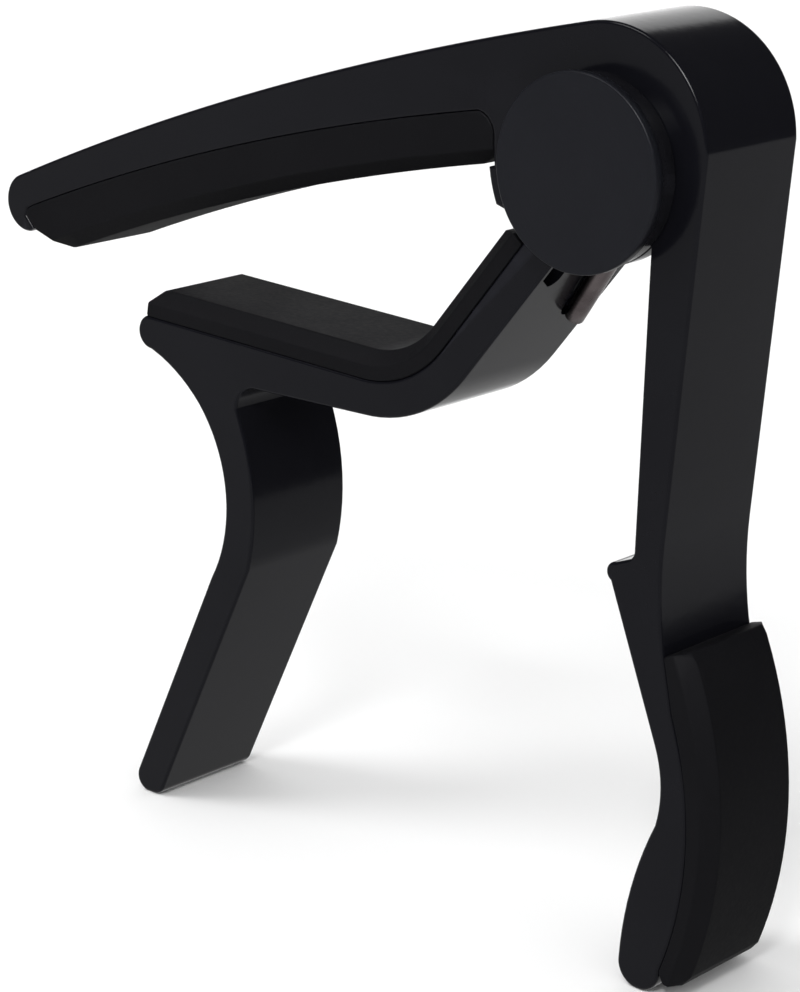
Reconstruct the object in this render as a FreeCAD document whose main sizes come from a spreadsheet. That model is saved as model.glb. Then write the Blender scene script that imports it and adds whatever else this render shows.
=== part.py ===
import FreeCAD, Part
import math
import os

import Sketcher

V = FreeCAD.Vector

# A spring capo for a guitar neck. Two flat-sided arms, cut from one bar width,
# turn on a thick pin. Outlines are drawn in the XZ plane round the pin's axis
# and padded evenly to both sides of it; the whole part stands on its two
# handle tips at Z = 0. Every length is in millimetres.

SIZES = {
    "arm_width": 12.7,          # both arms, along Y
    "pivot_height": 72.0,       # pin axis above the handle tips
    "pivot_offset": 29.18,      # pin axis in front of the middle of the length
    "fork_gap": 8.9,            # clear width between the string arm's cheeks
    "tongue_width": 8.3,        # neck arm between the cheeks
    "spring_room": 6.1,         # clear width between the neck arm's two ears
    "cheek_round": 8.2,         # lower edge of the cheeks, from the pin axis
    "fork_round": 7.2,          # hollow inside the fork
    "shoulder_round": 8.6,      # where the neck arm gets its full width
    "ear_round": 5.0,           # neck arm's eye
    "spring_round": 6.0,        # hollow between the ears
    "pin_round": 2.0,
    "pin_clearance": 0.05,
    "cap_round": 8.46,          # thin outer disc
    "cap_thickness": 1.0,
    "cap_recess": 0.6,          # the pin's end sits this deep in the cap
    "cap_chamfer": 0.25,
    "spacer_round": 8.15,       # boss under the disc
    "spacer_thickness": 2.03,
    "wire_round": 0.95,         # spring wire, radius
    "coil_round": 3.2,          # spring, to the middle of the wire
    "coil_pitch": 2.0,
    "stop_gap": 0.3,            # neck arm to the fork's closed stop
    "neck_slope": 51.8,         # slope of the neck arm's upper stretch, degrees
    "neck_outer": 2.1,          # pin axis to that stretch's outer face
    "neck_inner": 1.3,          # pin axis to its inner face
    "groove_width": 2.5,        # groove for the spring's leg
    "groove_depth": 0.7,
    "groove_start": 4.0,
    "groove_end": 18.3,
    "groove_slant": 14.0,       # leg runs across the arm at this angle, degrees
    "leg_end": 17.9,
    "leg_lift": 0.7,            # middle of the leg above the outer face, at its end
    "relief_near": 9.2,         # milled relief beside the groove
    "relief_far": 13.0,
    "relief_side": 5.8,
    "relief_inner": 3.3,
    "relief_depth": 1.6,
    "pad_bevel": 1.3,           # bevel along the long edges of each pad
    "neck_pad_reach": 10.84,    # neck pad's upper end, down the arm from the pin axis
    "string_leg_angle": 240.0,  # where the coil leaves for the string arm, degrees
    "string_leg_length": 6.6,
}

# Sizes that follow from others, as formulas in the sheet.
DERIVED = {
    "axis": "=0",
    "side_face": "=arm_width / 2",
    "cap_seat": "=side_face + spacer_thickness",
    "pin_end": "=cap_seat + cap_recess",
    "cap_face": "=cap_seat + cap_thickness",
    "cap_rim": "=cap_face - cap_chamfer",
    "cap_face_round": "=cap_round - cap_chamfer",
}

# Corner points of the outlines: X and Z from the pin axis.
POINTS = {
    # string arm: bar along the top, hub round the pin, long handle
    "bar_top": (-72.26, -11.80),
    "bar_nose": (-73.95, -14.40),
    "bar_chin": (-70.70, -17.22),
    "lip_tip": (-70.05, -16.85),
    "lip_root": (-71.15, -15.70),
    "lip_inner": (-70.95, -14.95),
    "under_far": (-70.20, -14.55),
    "under_near": (-13.20, 3.00),
    "wall_top": (-11.35, 1.10),
    "wall_foot": (-11.20, -1.50),
    "hub_step": (-11.78, -1.62),
    "hub_low": (-10.85, -4.77),
    "hub_heel": (-9.95, -5.02),
    "hub_crown": (-1.51, 12.11),
    "hub_back": (11.08, 2.60),
    "waist_top": (8.80, -30.80),
    "waist_low": (9.35, -40.00),
    "swell_top": (10.62, -45.50),
    "swell_low": (10.75, -69.60),
    "foot_low": (8.60, -72.00),
    "foot_in": (6.25, -69.70),
    "knee_low": (9.45, -56.10),
    "knee_top": (8.95, -48.80),
    "spur_low": (3.40, -35.20),
    "spur_top": (3.82, -33.45),
    "spur_root": (5.35, -32.80),
    "inner_low": (5.75, -32.00),
    "inner_top": (5.94, -5.653),
    # string pad, under the bar
    "string_pad_heel": (-11.27, -0.45),
    "string_pad_near": (-13.30, -1.78),
    "string_pad_far": (-65.40, -18.15),
    "string_pad_toe": (-69.70, -16.90),
    # neck arm: jaw, bend, trigger
    "jaw_top": (-53.90, -22.64),
    "jaw_nose": (-55.05, -24.20),
    "jaw_chin": (-53.37, -25.85),
    "throat_top": (-52.00, -26.38),
    "throat_mid": (-46.80, -30.02),
    "throat_low": (-44.90, -46.97),
    "trigger_low": (-55.07, -69.95),
    "trigger_toe": (-53.65, -72.00),
    "trigger_heel": (-52.80, -71.96),
    "trigger_end": (-51.48, -71.00),
    "trigger_bow": (-39.92, -45.20),
    "trigger_neck": (-41.70, -29.50),
    "jaw_fillet": (-39.20, -27.05),
    "jaw_under": (-25.60, -26.60),
    "jaw_bend": (-25.70, -23.20),
    # neck pad
    "neck_pad_toe": (-53.72, -21.30),
    "neck_pad_far": (-52.40, -20.05),
    # grip pad, outside the long handle
    "grip_top": (9.48, -40.55),
    "grip_shoulder": (11.45, -39.95),
    "grip_start": (12.25, -40.90),
    "grip_low": (13.42, -69.60),
    "grip_toe": (12.45, -70.75),
    "grip_heel": (11.25, -70.60),
}

# Round stretches of the outlines, by radius.
ROUNDS = {
    "bar_top_round": 408.4,
    "nose_round": 2.85,
    "under_round": 303.5,
    "wall_round": 2.0,
    "hub_round": 10.3,
    "hub_side_round": 11.87,
    "waist_round": 37.3,
    "swell_round": 33.8,
    "foot_round": 2.2,
    "shin_round": 35.7,
    "knee_round": 11.7,
    "spur_round": 0.93,
    "spur_fillet": 0.9,
    "string_pad_round": 298.2,
    "jaw_round": 1.65,
    "throat_top_round": 16.3,
    "throat_round": 14.6,
    "toe_round": 1.5,
    "bow_round": 23.3,
    "fillet_round": 2.4,
    "bend_inner": 11.7,
    "bend_outer": 15.1,
    "grip_round": 39.0,
    "neck_pad_round": 9.05,
}


def make_sheet(doc):
    """Every driving dimension, one alias to a cell."""
    sheet = doc.addObject("Spreadsheet::Sheet", "Dims")
    cells = dict(SIZES)
    cells.update(ROUNDS)
    for name, (x, z) in POINTS.items():
        cells[name + "_x"] = x
        cells[name + "_z"] = z
    cells.update(DERIVED)
    for row, (alias, value) in enumerate(cells.items(), start=1):
        sheet.set(f"A{row}", alias)
        sheet.set(f"B{row}", str(value))
        sheet.setAlias(f"B{row}", alias)
    doc.recompute()
    return sheet


def origin_plane(body, role):
    return next(plane for plane in body.Origin.OriginFeatures if plane.Role == role)


def new_sketch(body, name, role="XZ_Plane"):
    sketch = body.newObject("Sketcher::SketchObject", name)
    sketch.AttachmentSupport = [(origin_plane(body, role), "")]
    sketch.MapMode = "FlatFace"
    return sketch


def arc_between(start, end, radius, turn):
    """The short arc from start to end; turn is 1 anticlockwise, -1 clockwise."""
    chord = end - start
    half = chord.Length / 2
    rise = math.sqrt(max(radius**2 - half**2, 0))
    side = V(-chord.y, chord.x, 0).normalize() * turn
    centre = start + chord * 0.5 + side * rise
    first, last = (start, end) if turn > 0 else (end, start)
    first_angle = math.atan2(first.y - centre.y, first.x - centre.x)
    last_angle = math.atan2(last.y - centre.y, last.x - centre.x)
    if last_angle < first_angle:
        last_angle += 2 * math.pi
    circle = Part.Circle(centre, V(0, 0, 1), radius)
    return Part.ArcOfCircle(circle, first_angle, last_angle)


def pin_point(sketch, number, end, place, name):
    """Hold one end of an edge at its point, by the sheet where it is named there."""
    for axis, value, suffix in (("DistanceX", place.x, "_x"), ("DistanceY", place.y, "_z")):
        index = sketch.addConstraint(Sketcher.Constraint(axis, -1, 1, number, end, value))
        if name in POINTS:
            sketch.setExpression(f"Constraints[{index}]", f"Dims.{name}{suffix}")


def draw_outline(sketch, steps, places):
    """Closed outline through named points.

    A step is (point name, edge to the next point): None for a straight edge, or
    (radius name, 1 or -1) for the arc, anticlockwise or clockwise.
    """
    count = len(steps)
    starts = []
    for number, (name, edge) in enumerate(steps):
        start = places[name]
        end = places[steps[(number + 1) % count][0]]
        if edge is None:
            sketch.addGeometry(Part.LineSegment(start, end))
            starts.append(1)
            continue
        radius, turn = edge
        sketch.addGeometry(arc_between(start, end, places[radius], turn))
        starts.append(1 if turn > 0 else 2)
        index = sketch.addConstraint(Sketcher.Constraint("Radius", number, places[radius]))
        sketch.setExpression(f"Constraints[{index}]", f"Dims.{radius}")
    for number, (name, _) in enumerate(steps):
        before = (number - 1) % count
        pin_point(sketch, number, starts[number], places[name], name)
        sketch.addConstraint(
            Sketcher.Constraint("Coincident", before, 3 - starts[before], number, starts[number])
        )


def known_places(sheet):
    """Points as vectors and radii as numbers, read back from the sheet."""
    places = {name: V(sheet.get(name + "_x"), sheet.get(name + "_z"), 0) for name in POINTS}
    for name in [*ROUNDS, *SIZES, *DERIVED]:
        places[name] = float(sheet.get(name))
    return places


def pad(body, sketch, width, name):
    feature = body.newObject("PartDesign::Pad", name)
    feature.Profile = sketch
    feature.SideType = "Symmetric"
    feature.setExpression("Length", width)
    sketch.Document.recompute()
    return feature


def pocket(body, sketch, width, name):
    """A cut of this width, half to each side of the arm's middle."""
    before = body.Shape.Volume
    feature = body.newObject("PartDesign::Pocket", name)
    feature.Profile = sketch
    feature.SideType = "Symmetric"
    feature.setExpression("Length", width)
    sketch.Document.recompute()
    if body.Shape.Volume > before - 0.1:
        raise RuntimeError(f"{name} cuts nothing")
    return feature


def circle_sketch(body, name, radius):
    """A circle round the pin axis, its radius an expression of the sheet."""
    sketch = new_sketch(body, name)
    sketch.addGeometry(Part.Circle(V(0, 0, 0), V(0, 0, 1), 1.0))
    sketch.addConstraint(Sketcher.Constraint("Coincident", 0, 3, -1, 1))
    index = sketch.addConstraint(Sketcher.Constraint("Radius", 0, 1.0))
    sketch.setExpression(f"Constraints[{index}]", radius)
    return sketch


def break_edges(body, size, name, chosen):
    """Chamfer the edges that chosen picks from the body so far."""
    base = body.Tip
    edges = [f"Edge{i}" for i, edge in enumerate(base.Shape.Edges, start=1) if chosen(edge)]
    feature = body.newObject("PartDesign::Chamfer", name)
    feature.Base = (base, edges)
    feature.setExpression("Size", size)
    body.Document.recompute()
    return feature


def on_side_face(edge, width):
    """True for an edge that lies in either flat side of an arm."""
    box = edge.BoundBox
    return abs(abs(box.Center.y) - width / 2) < 1e-6 and box.YLength < 1e-6


def new_body(doc, label):
    body = doc.addObject("PartDesign::Body", label)
    body.Label = label
    return body


def stand(piece):
    """Move a sub-part from the pin axis to its place above the ground."""
    piece.setExpression("Placement.Base.x", "Dims.pivot_offset")
    piece.setExpression("Placement.Base.z", "Dims.pivot_height")


def along_neck(places, reach, offset):
    """A point beside the neck arm's upper stretch.

    reach is the distance down the stretch from the pin axis, offset the
    distance outwards from that axis.
    """
    slope = math.radians(places["neck_slope"])
    down = V(-math.cos(slope), -math.sin(slope), 0)
    out = V(math.sin(slope), -math.cos(slope), 0)
    return down * reach + out * offset


def reach_at(radius, offset):
    """How far down the stretch a line at this offset leaves the circle."""
    return math.sqrt(radius**2 - offset**2)


def neck_places(places):
    """The neck arm's points that follow from its slope and the pin."""
    outer, inner = places["neck_outer"], -places["neck_inner"]
    bend = places["jaw_bend"] + V(0.1, places["bend_inner"], 0)
    out = along_neck(places, 0, 1)
    found = dict(places)
    found["bend_centre"] = bend
    found["bend_out"] = bend + out * places["bend_outer"]
    found["bend_in"] = bend + out * places["bend_inner"]
    shoulder, ear = places["shoulder_round"], places["ear_round"]
    found["shoulder_out"] = along_neck(places, reach_at(shoulder, outer), outer)
    found["shoulder_in"] = along_neck(places, reach_at(shoulder, inner), inner)
    found["ear_out"] = along_neck(places, reach_at(ear, outer), outer)
    found["ear_in"] = along_neck(places, reach_at(ear, inner), inner)
    found["root_out"] = along_neck(places, shoulder + 2, outer)
    found["root_in"] = along_neck(places, shoulder + 2, inner)
    return found


def make_string_arm(doc, places):
    """Upper bar over the strings, forked hub and long handle in one piece."""
    body = new_body(doc, "string_arm")
    stop = -places["neck_inner"] - places["stop_gap"]
    places = dict(places)
    places["stop_low"] = along_neck(places, reach_at(places["cheek_round"], stop), stop)
    sketch = new_sketch(body, "string_arm_outline")
    steps = [
        ("bar_top", ("nose_round", 1)),
        ("bar_nose", ("nose_round", 1)),
        ("bar_chin", None),
        ("lip_tip", None),
        ("lip_root", None),
        ("lip_inner", None),
        ("under_far", ("under_round", -1)),
        ("under_near", ("wall_round", -1)),
        ("wall_top", None),
        ("wall_foot", None),
        ("hub_step", ("hub_side_round", 1)),
        ("hub_low", None),
        ("hub_heel", None),
        ("stop_low", ("cheek_round", 1)),
        ("inner_top", None),
        ("inner_low", ("spur_fillet", -1)),
        ("spur_root", None),
        ("spur_top", ("spur_round", 1)),
        ("spur_low", None),
        ("knee_top", ("knee_round", -1)),
        ("knee_low", ("shin_round", 1)),
        ("foot_in", ("foot_round", 1)),
        ("foot_low", ("foot_round", 1)),
        ("swell_low", ("swell_round", 1)),
        ("swell_top", None),
        ("waist_low", ("waist_round", -1)),
        ("waist_top", None),
        ("hub_back", ("hub_round", 1)),
        ("hub_crown", ("bar_top_round", 1)),
    ]
    draw_outline(sketch, steps, places)
    pad(body, sketch, "Dims.arm_width", "string_arm_bar")
    cut_fork(body, places, stop)
    bore = circle_sketch(body, "string_arm_bore", "Dims.pin_round + Dims.pin_clearance")
    pocket(body, bore, "Dims.arm_width * 2", "string_arm_hole")
    stand(body)
    return body


def cut_fork(body, places, stop):
    """Hollow between the cheeks, open below where the neck arm swings."""
    fork = places["fork_round"]
    inner_x = places["inner_top"].x
    places["fork_stop"] = along_neck(places, reach_at(fork, stop), stop)
    places["fork_left"] = along_neck(places, 14, stop)
    places["fork_low"] = V(inner_x, -15, 0)
    places["fork_right"] = V(inner_x, -math.sqrt(fork**2 - inner_x**2), 0)
    places["fork_roof"] = V(0, fork, 0)
    sketch = new_sketch(body, "fork_outline")
    steps = [
        ("fork_stop", None),
        ("fork_left", None),
        ("fork_low", None),
        ("fork_right", ("fork_round", 1)),
        ("fork_roof", ("fork_round", 1)),
    ]
    draw_outline(sketch, steps, places)
    pocket(body, sketch, "Dims.fork_gap", "fork")


def make_neck_arm(doc, places):
    """Jaw under the neck, bend up to the pin, and the trigger handle."""
    body = new_body(doc, "neck_arm")
    places = neck_places(places)
    sketch = new_sketch(body, "neck_arm_outline")
    steps = [
        ("jaw_top", ("jaw_round", 1)),
        ("jaw_nose", ("jaw_round", 1)),
        ("jaw_chin", None),
        ("throat_top", ("throat_top_round", -1)),
        ("throat_mid", ("throat_round", -1)),
        ("throat_low", None),
        ("trigger_low", ("toe_round", 1)),
        ("trigger_toe", None),
        ("trigger_heel", ("toe_round", 1)),
        ("trigger_end", None),
        ("trigger_bow", ("bow_round", 1)),
        ("trigger_neck", ("fillet_round", -1)),
        ("jaw_fillet", None),
        ("jaw_under", ("bend_outer", 1)),
        ("bend_out", None),
        ("shoulder_out", ("shoulder_round", -1)),
        ("shoulder_in", None),
        ("bend_in", ("bend_inner", -1)),
        ("jaw_bend", None),
    ]
    draw_outline(sketch, steps, places)
    pad(body, sketch, "Dims.arm_width", "neck_arm_bar")
    tongue = new_sketch(body, "tongue_outline")
    steps = [
        ("root_out", None),
        ("ear_out", ("ear_round", 1)),
        ("ear_back", ("ear_round", 1)),
        ("ear_in", None),
        ("root_in", None),
    ]
    places["ear_back"] = along_neck(places, -places["ear_round"], 0)
    draw_outline(tongue, steps, places)
    pad(body, tongue, "Dims.tongue_width", "tongue")
    room = circle_sketch(body, "spring_room_outline", "Dims.spring_round")
    pocket(body, room, "Dims.spring_room", "spring_room")
    bore = circle_sketch(body, "neck_arm_bore", "Dims.pin_round + Dims.pin_clearance")
    pocket(body, bore, "Dims.arm_width * 2", "neck_arm_hole")
    cut_groove(body, places)
    cut_relief(body, places)
    stand(body)
    return body


def outer_face_sketch(body, places, name, slant):
    """A sketch on the neck arm's outer face, X down the arm, turned by slant."""
    sketch = new_sketch(body, name, "XY_Plane")
    out = along_neck(places, 0, places["neck_outer"])
    lie = FreeCAD.Rotation(V(0, 1, 0), 180 - places["neck_slope"])
    turn = FreeCAD.Rotation(V(0, 0, 1), slant)
    sketch.AttachmentOffset = FreeCAD.Placement(V(out.x, 0, out.y), lie.multiply(turn))
    return sketch


def cut_inwards(body, sketch, depth, name):
    before = body.Shape.Volume
    feature = body.newObject("PartDesign::Pocket", name)
    feature.Profile = sketch
    feature.setExpression("Length", depth)
    sketch.Document.recompute()
    if body.Shape.Volume > before - 0.1:
        raise RuntimeError(f"{name} cuts nothing")


def leg_side(places, reach):
    """Where the spring's leg is across the arm, at this reach down it."""
    first_turn = -coil_travel(places) / 2
    return first_turn + reach * math.tan(math.radians(places["groove_slant"]))


def cut_groove(body, places):
    """Groove with a round end that the spring's leg lies in."""
    slant = places["groove_slant"]
    sketch = outer_face_sketch(body, places, "groove_outline", slant)
    stretch = 1 / math.cos(math.radians(slant))
    half = places["groove_width"] / 2
    middle = leg_side(places, 0) * math.cos(math.radians(slant))
    shift = leg_side(places, 0) * math.sin(math.radians(slant))
    near = places["groove_start"] * stretch + shift
    far = places["groove_end"] * stretch + shift - half
    near_front = V(near, middle - half, 0)
    far_front = V(far, middle - half, 0)
    round_end = V(far + half, middle, 0)
    far_back = V(far, middle + half, 0)
    near_back = V(near, middle + half, 0)
    sketch.addGeometry(Part.LineSegment(near_front, far_front))
    sketch.addGeometry(Part.Arc(far_front, round_end, far_back))
    sketch.addGeometry(Part.LineSegment(far_back, near_back))
    sketch.addGeometry(Part.LineSegment(near_back, near_front))
    for number in range(4):
        sketch.addConstraint(Sketcher.Constraint("Block", number))
    cut_inwards(body, sketch, "Dims.groove_depth", "groove")


def cut_relief(body, places):
    """Short milled relief with rounded corners, beside the groove."""
    sketch = outer_face_sketch(body, places, "relief_outline", 0)
    near, far = places["relief_near"], places["relief_far"]
    side, inner = -places["relief_side"], -places["relief_inner"]
    corner = (inner - side) * 0.4
    slant = (inner - side) * 0.45
    sketch.addGeometry(Part.LineSegment(V(near, side, 0), V(far - slant, side, 0)))
    sketch.addGeometry(Part.LineSegment(V(far - slant, side, 0), V(far, inner - corner, 0)))
    sketch.addGeometry(
        Part.Arc(
            V(far, inner - corner, 0),
            V(far - corner * 0.2, inner - corner * 0.25, 0),
            V(far - corner, inner, 0),
        )
    )
    sketch.addGeometry(Part.LineSegment(V(far - corner, inner, 0), V(near, inner, 0)))
    sketch.addGeometry(Part.LineSegment(V(near, inner, 0), V(near, side, 0)))
    for number in range(5):
        sketch.addConstraint(Sketcher.Constraint("Block", number))
    cut_inwards(body, sketch, "Dims.relief_depth", "relief")


def make_string_pad(doc, places):
    """Curved rubber pad that presses on the strings."""
    body = new_body(doc, "string_pad")
    sketch = new_sketch(body, "string_pad_outline")
    steps = [
        ("under_far", ("under_round", -1)),
        ("under_near", ("wall_round", -1)),
        ("wall_top", None),
        ("string_pad_heel", None),
        ("string_pad_near", ("string_pad_round", 1)),
        ("string_pad_far", None),
        ("string_pad_toe", None),
        ("lip_root", None),
        ("lip_inner", None),
    ]
    draw_outline(sketch, steps, places)
    pad(body, sketch, "Dims.arm_width", "string_pad_block")
    far, near = places["string_pad_far"], places["string_pad_near"]
    free = long_edges(places, [(far, near)])
    break_edges(body, "Dims.pad_bevel", "string_pad_bevel", free)
    stand(body)
    return body


def long_edges(places, spans):
    """Picks side-face edges that run between the given pairs of points."""
    width = places["arm_width"]

    def ends_match(edge, span):
        ends = [V(v.X, v.Z, 0) for v in edge.Vertexes]
        first, last = span
        forward = ends[0].distanceToPoint(first) + ends[-1].distanceToPoint(last)
        backward = ends[0].distanceToPoint(last) + ends[-1].distanceToPoint(first)
        return min(forward, backward) < 0.01

    def chosen(edge):
        return on_side_face(edge, width) and any(ends_match(edge, span) for span in spans)

    return chosen


def make_neck_pad(doc, places):
    """Rubber pad that wraps the jaw's top and the lower part of its rise."""
    body = new_body(doc, "neck_pad")
    places = neck_places(places)
    round_top = places["neck_pad_round"]
    thick = places["bend_inner"] - round_top
    inner = -places["neck_inner"]
    centre = places["bend_centre"]
    out = along_neck(places, 0, 1)
    places["pad_bend"] = V(places["jaw_bend"].x, centre.y - round_top, 0)
    places["pad_bend_in"] = centre + out * round_top
    places["pad_head"] = along_neck(places, places["neck_pad_reach"], inner)
    places["pad_head_side"] = along_neck(places, places["neck_pad_reach"], inner - thick / 2)
    places["pad_head_top"] = along_neck(places, places["neck_pad_reach"] + thick / 2, inner - thick)
    sketch = new_sketch(body, "neck_pad_outline")
    steps = [
        ("jaw_top", None),
        ("jaw_bend", ("bend_inner", 1)),
        ("bend_in", None),
        ("pad_head", None),
        ("pad_head_side", None),
        ("pad_head_top", None),
        ("pad_bend_in", ("neck_pad_round", -1)),
        ("pad_bend", None),
        ("neck_pad_far", None),
        ("neck_pad_toe", None),
    ]
    draw_outline(sketch, steps, places)
    pad(body, sketch, "Dims.arm_width", "neck_pad_block")
    free = long_edges(
        places,
        [
            (places["pad_head_top"], places["pad_bend_in"]),
            (places["pad_bend_in"], places["pad_bend"]),
            (places["pad_bend"], places["neck_pad_far"]),
        ],
    )
    break_edges(body, "Dims.pad_bevel", "neck_pad_bevel", free)
    stand(body)
    return body


def make_grip_pad(doc, places):
    """Rubber pad for the palm, on the outside of the long handle."""
    body = new_body(doc, "grip_pad")
    sketch = new_sketch(body, "grip_pad_outline")
    steps = [
        ("grip_top", None),
        ("swell_top", ("swell_round", -1)),
        ("swell_low", None),
        ("grip_heel", None),
        ("grip_toe", None),
        ("grip_low", ("grip_round", 1)),
        ("grip_start", None),
        ("grip_shoulder", None),
    ]
    draw_outline(sketch, steps, places)
    pad(body, sketch, "Dims.arm_width", "grip_pad_block")
    free = long_edges(places, [(places["grip_low"], places["grip_start"])])
    break_edges(body, "Dims.pad_bevel", "grip_pad_bevel", free)
    stand(body)
    return body


def make_turned(doc, places, label, side, profile):
    """A round piece on the pin axis. The profile names each corner's place along it and out."""
    body = new_body(doc, label)
    sketch = new_sketch(body, label + "_profile", "YZ_Plane")
    corners = [V(side * places[along], places[out], 0) for along, out in profile]
    for number, corner in enumerate(corners):
        following = corners[(number + 1) % len(corners)]
        sketch.addGeometry(Part.LineSegment(corner, following))
    for number, (along, out) in enumerate(profile):
        before = (number - 1) % len(profile)
        sketch.addConstraint(Sketcher.Constraint("Coincident", before, 2, number, 1))
        for axis, text, value in (
            ("DistanceX", f"{side} * Dims.{along}", corners[number].x),
            ("DistanceY", f"Dims.{out}", corners[number].y),
        ):
            index = sketch.addConstraint(Sketcher.Constraint(axis, -1, 1, number, 1, value))
            sketch.setExpression(f"Constraints[{index}]", text)
    feature = body.newObject("PartDesign::Revolution", label + "_turning")
    feature.Profile = sketch
    feature.ReferenceAxis = (sketch, ["H_Axis"])
    feature.Angle = 360
    doc.recompute()
    stand(body)
    return body


def make_pin(doc):
    """Shaft that both arms turn on; its ends sit in the caps."""
    body = new_body(doc, "pivot_pin")
    pad(body, circle_sketch(body, "pin_outline", "Dims.pin_round"), "Dims.pin_end * 2", "pin_bar")
    stand(body)
    return body


def make_spacer(doc, places, label, side):
    """Round boss between an arm's flat side and the cap."""
    corners = [
        ("side_face", "pin_round"),
        ("side_face", "spacer_round"),
        ("cap_seat", "spacer_round"),
        ("cap_seat", "pin_round"),
    ]
    return make_turned(doc, places, label, side, corners)


def make_cap(doc, places, label, side):
    """Thin disc pressed over the pin's end, with a fine chamfer round its face."""
    corners = [
        ("cap_seat", "pin_round"),
        ("cap_seat", "cap_round"),
        ("cap_rim", "cap_round"),
        ("cap_face", "cap_face_round"),
        ("cap_face", "axis"),
        ("pin_end", "axis"),
        ("pin_end", "pin_round"),
    ]
    return make_turned(doc, places, label, side, corners)


def coil_start(places):
    """Angle at which the neck arm's leg meets the coil, degrees from +X."""
    return places["neck_slope"] - 90.0


def coil_turns(places):
    """Turns between the two legs, with one extra round."""
    return 1.0 + (places["string_leg_angle"] - coil_start(places)) / 360.0


def coil_travel(places):
    """How far the wire moves along the pin between its two legs."""
    return coil_turns(places) * places["coil_pitch"]


def leg_points(start, end, count):
    """Points on a straight leg, from start up to but not at its end."""
    return [start + (end - start) * (number / count) for number in range(count)]


def coil_points(places, per_turn):
    """Points round the coil, from the neck arm's leg to the string arm's."""
    first, travel = coil_start(places), coil_travel(places)
    steps = round(coil_turns(places) * per_turn)
    points = []
    for number in range(steps + 1):
        share = number / steps
        angle = math.radians(first + share * coil_turns(places) * 360.0)
        out = V(math.cos(angle), 0, math.sin(angle)) * places["coil_round"]
        points.append(out + V(0, (share - 0.5) * travel, 0))
    return points


def spring_line(places):
    """Middle line of the wire: a leg in the groove, the coil, a leg to the handle."""
    tip = along_neck(places, places["leg_end"], places["neck_outer"] + places["leg_lift"])
    start = V(tip.x, leg_side(places, places["leg_end"]), tip.y)
    coil = coil_points(places, 16)
    angle = math.radians(places["string_leg_angle"])
    heading = V(-math.sin(angle), 0, math.cos(angle))
    end = coil[-1] + heading * places["string_leg_length"]
    points = leg_points(start, coil[0], 5) + coil
    points += reversed(leg_points(end, coil[-1], 3))
    line = Part.BSplineCurve()
    line.interpolate(points)
    return line


def make_spring(doc, places):
    """Torsion spring, one round wire."""
    line = spring_line(places)
    start, heading = line.value(line.FirstParameter), line.tangent(line.FirstParameter)[0]
    section = Part.Wire([Part.makeCircle(places["wire_round"], start, heading)])
    spring = doc.addObject("Part::Feature", "torsion_spring")
    spring.Shape = Part.Wire([line.toShape()]).makePipeShell([section], True, False)
    spring.Label = "torsion_spring"
    stand(spring)
    return spring


def check_document(doc, pieces):
    """Stop before writing if anything failed to build."""
    for item in doc.Objects:
        if "Invalid" in item.State or "Error" in item.State:
            raise RuntimeError(f"{item.Name} did not build: {item.State}")
    for piece in pieces:
        shape = piece.Shape
        if shape.isNull() or not shape.isValid() or len(shape.Solids) != 1:
            raise RuntimeError(f"{piece.Label} is not one valid solid")


def main():
    doc = FreeCAD.newDocument("capo")
    sheet = make_sheet(doc)
    places = known_places(sheet)
    pieces = [
        make_string_arm(doc, places),
        make_neck_arm(doc, places),
        make_string_pad(doc, places),
        make_neck_pad(doc, places),
        make_grip_pad(doc, places),
        make_pin(doc),
        make_spring(doc, places),
    ]
    for word, side in (("front", -1), ("back", 1)):
        pieces.append(make_spacer(doc, places, f"{word}_spacer", side))
        pieces.append(make_cap(doc, places, f"{word}_cap", side))
    doc.recompute()
    check_document(doc, pieces)
    os.makedirs("parts", exist_ok=True)
    for piece in pieces:
        piece.Shape.exportStep(f"parts/{piece.Label}.step")
        box = piece.Shape.BoundBox
        print(
            f"{piece.Label}: {piece.Shape.Volume:.1f} mm3,"
            f" X {box.XMin:.2f} to {box.XMax:.2f},"
            f" Y {box.YMin:.2f} to {box.YMax:.2f},"
            f" Z {box.ZMin:.2f} to {box.ZMax:.2f}"
        )


main()
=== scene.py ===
import math

import bmesh
import bpy
from mathutils import Matrix, Vector


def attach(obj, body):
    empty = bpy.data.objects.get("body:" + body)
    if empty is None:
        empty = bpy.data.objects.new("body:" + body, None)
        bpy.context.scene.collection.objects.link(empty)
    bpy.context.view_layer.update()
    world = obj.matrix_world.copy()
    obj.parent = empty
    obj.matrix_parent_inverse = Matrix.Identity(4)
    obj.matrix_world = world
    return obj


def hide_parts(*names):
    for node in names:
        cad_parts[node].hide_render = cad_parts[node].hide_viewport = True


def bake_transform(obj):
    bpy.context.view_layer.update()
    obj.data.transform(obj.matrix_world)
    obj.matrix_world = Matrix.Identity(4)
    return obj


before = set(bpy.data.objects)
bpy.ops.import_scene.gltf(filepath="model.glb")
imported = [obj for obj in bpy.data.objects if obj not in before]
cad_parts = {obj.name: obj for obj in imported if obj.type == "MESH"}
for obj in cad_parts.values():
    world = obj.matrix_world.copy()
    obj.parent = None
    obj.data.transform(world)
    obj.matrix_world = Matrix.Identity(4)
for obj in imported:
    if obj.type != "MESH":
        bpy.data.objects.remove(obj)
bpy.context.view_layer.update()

# Outlines are in millimetres from the pin axis, X and Z, as in the CAD source.
MM = 0.001
PIVOT = Vector((29.18, 0.0, 72.0))
HALF = 6.35                         # half the arms' width
EDGE, TONGUE_EDGE = 0.3, 0.15       # rounded edges of the machined arms
PAD_BEVEL, PAD_SOFT = 1.3, 0.14     # the pads' bevel along free edges, and soft corners
SHARP_TURN = math.radians(20.0)     # a pad's outline is softened where it turns by more
ARM_CREASE, ROUND_CREASE = 38.0, 50.0  # degrees at which an edge is shaded as sharp
SLOPE_DEGREES = 51.8                # neck arm's upper stretch
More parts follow.
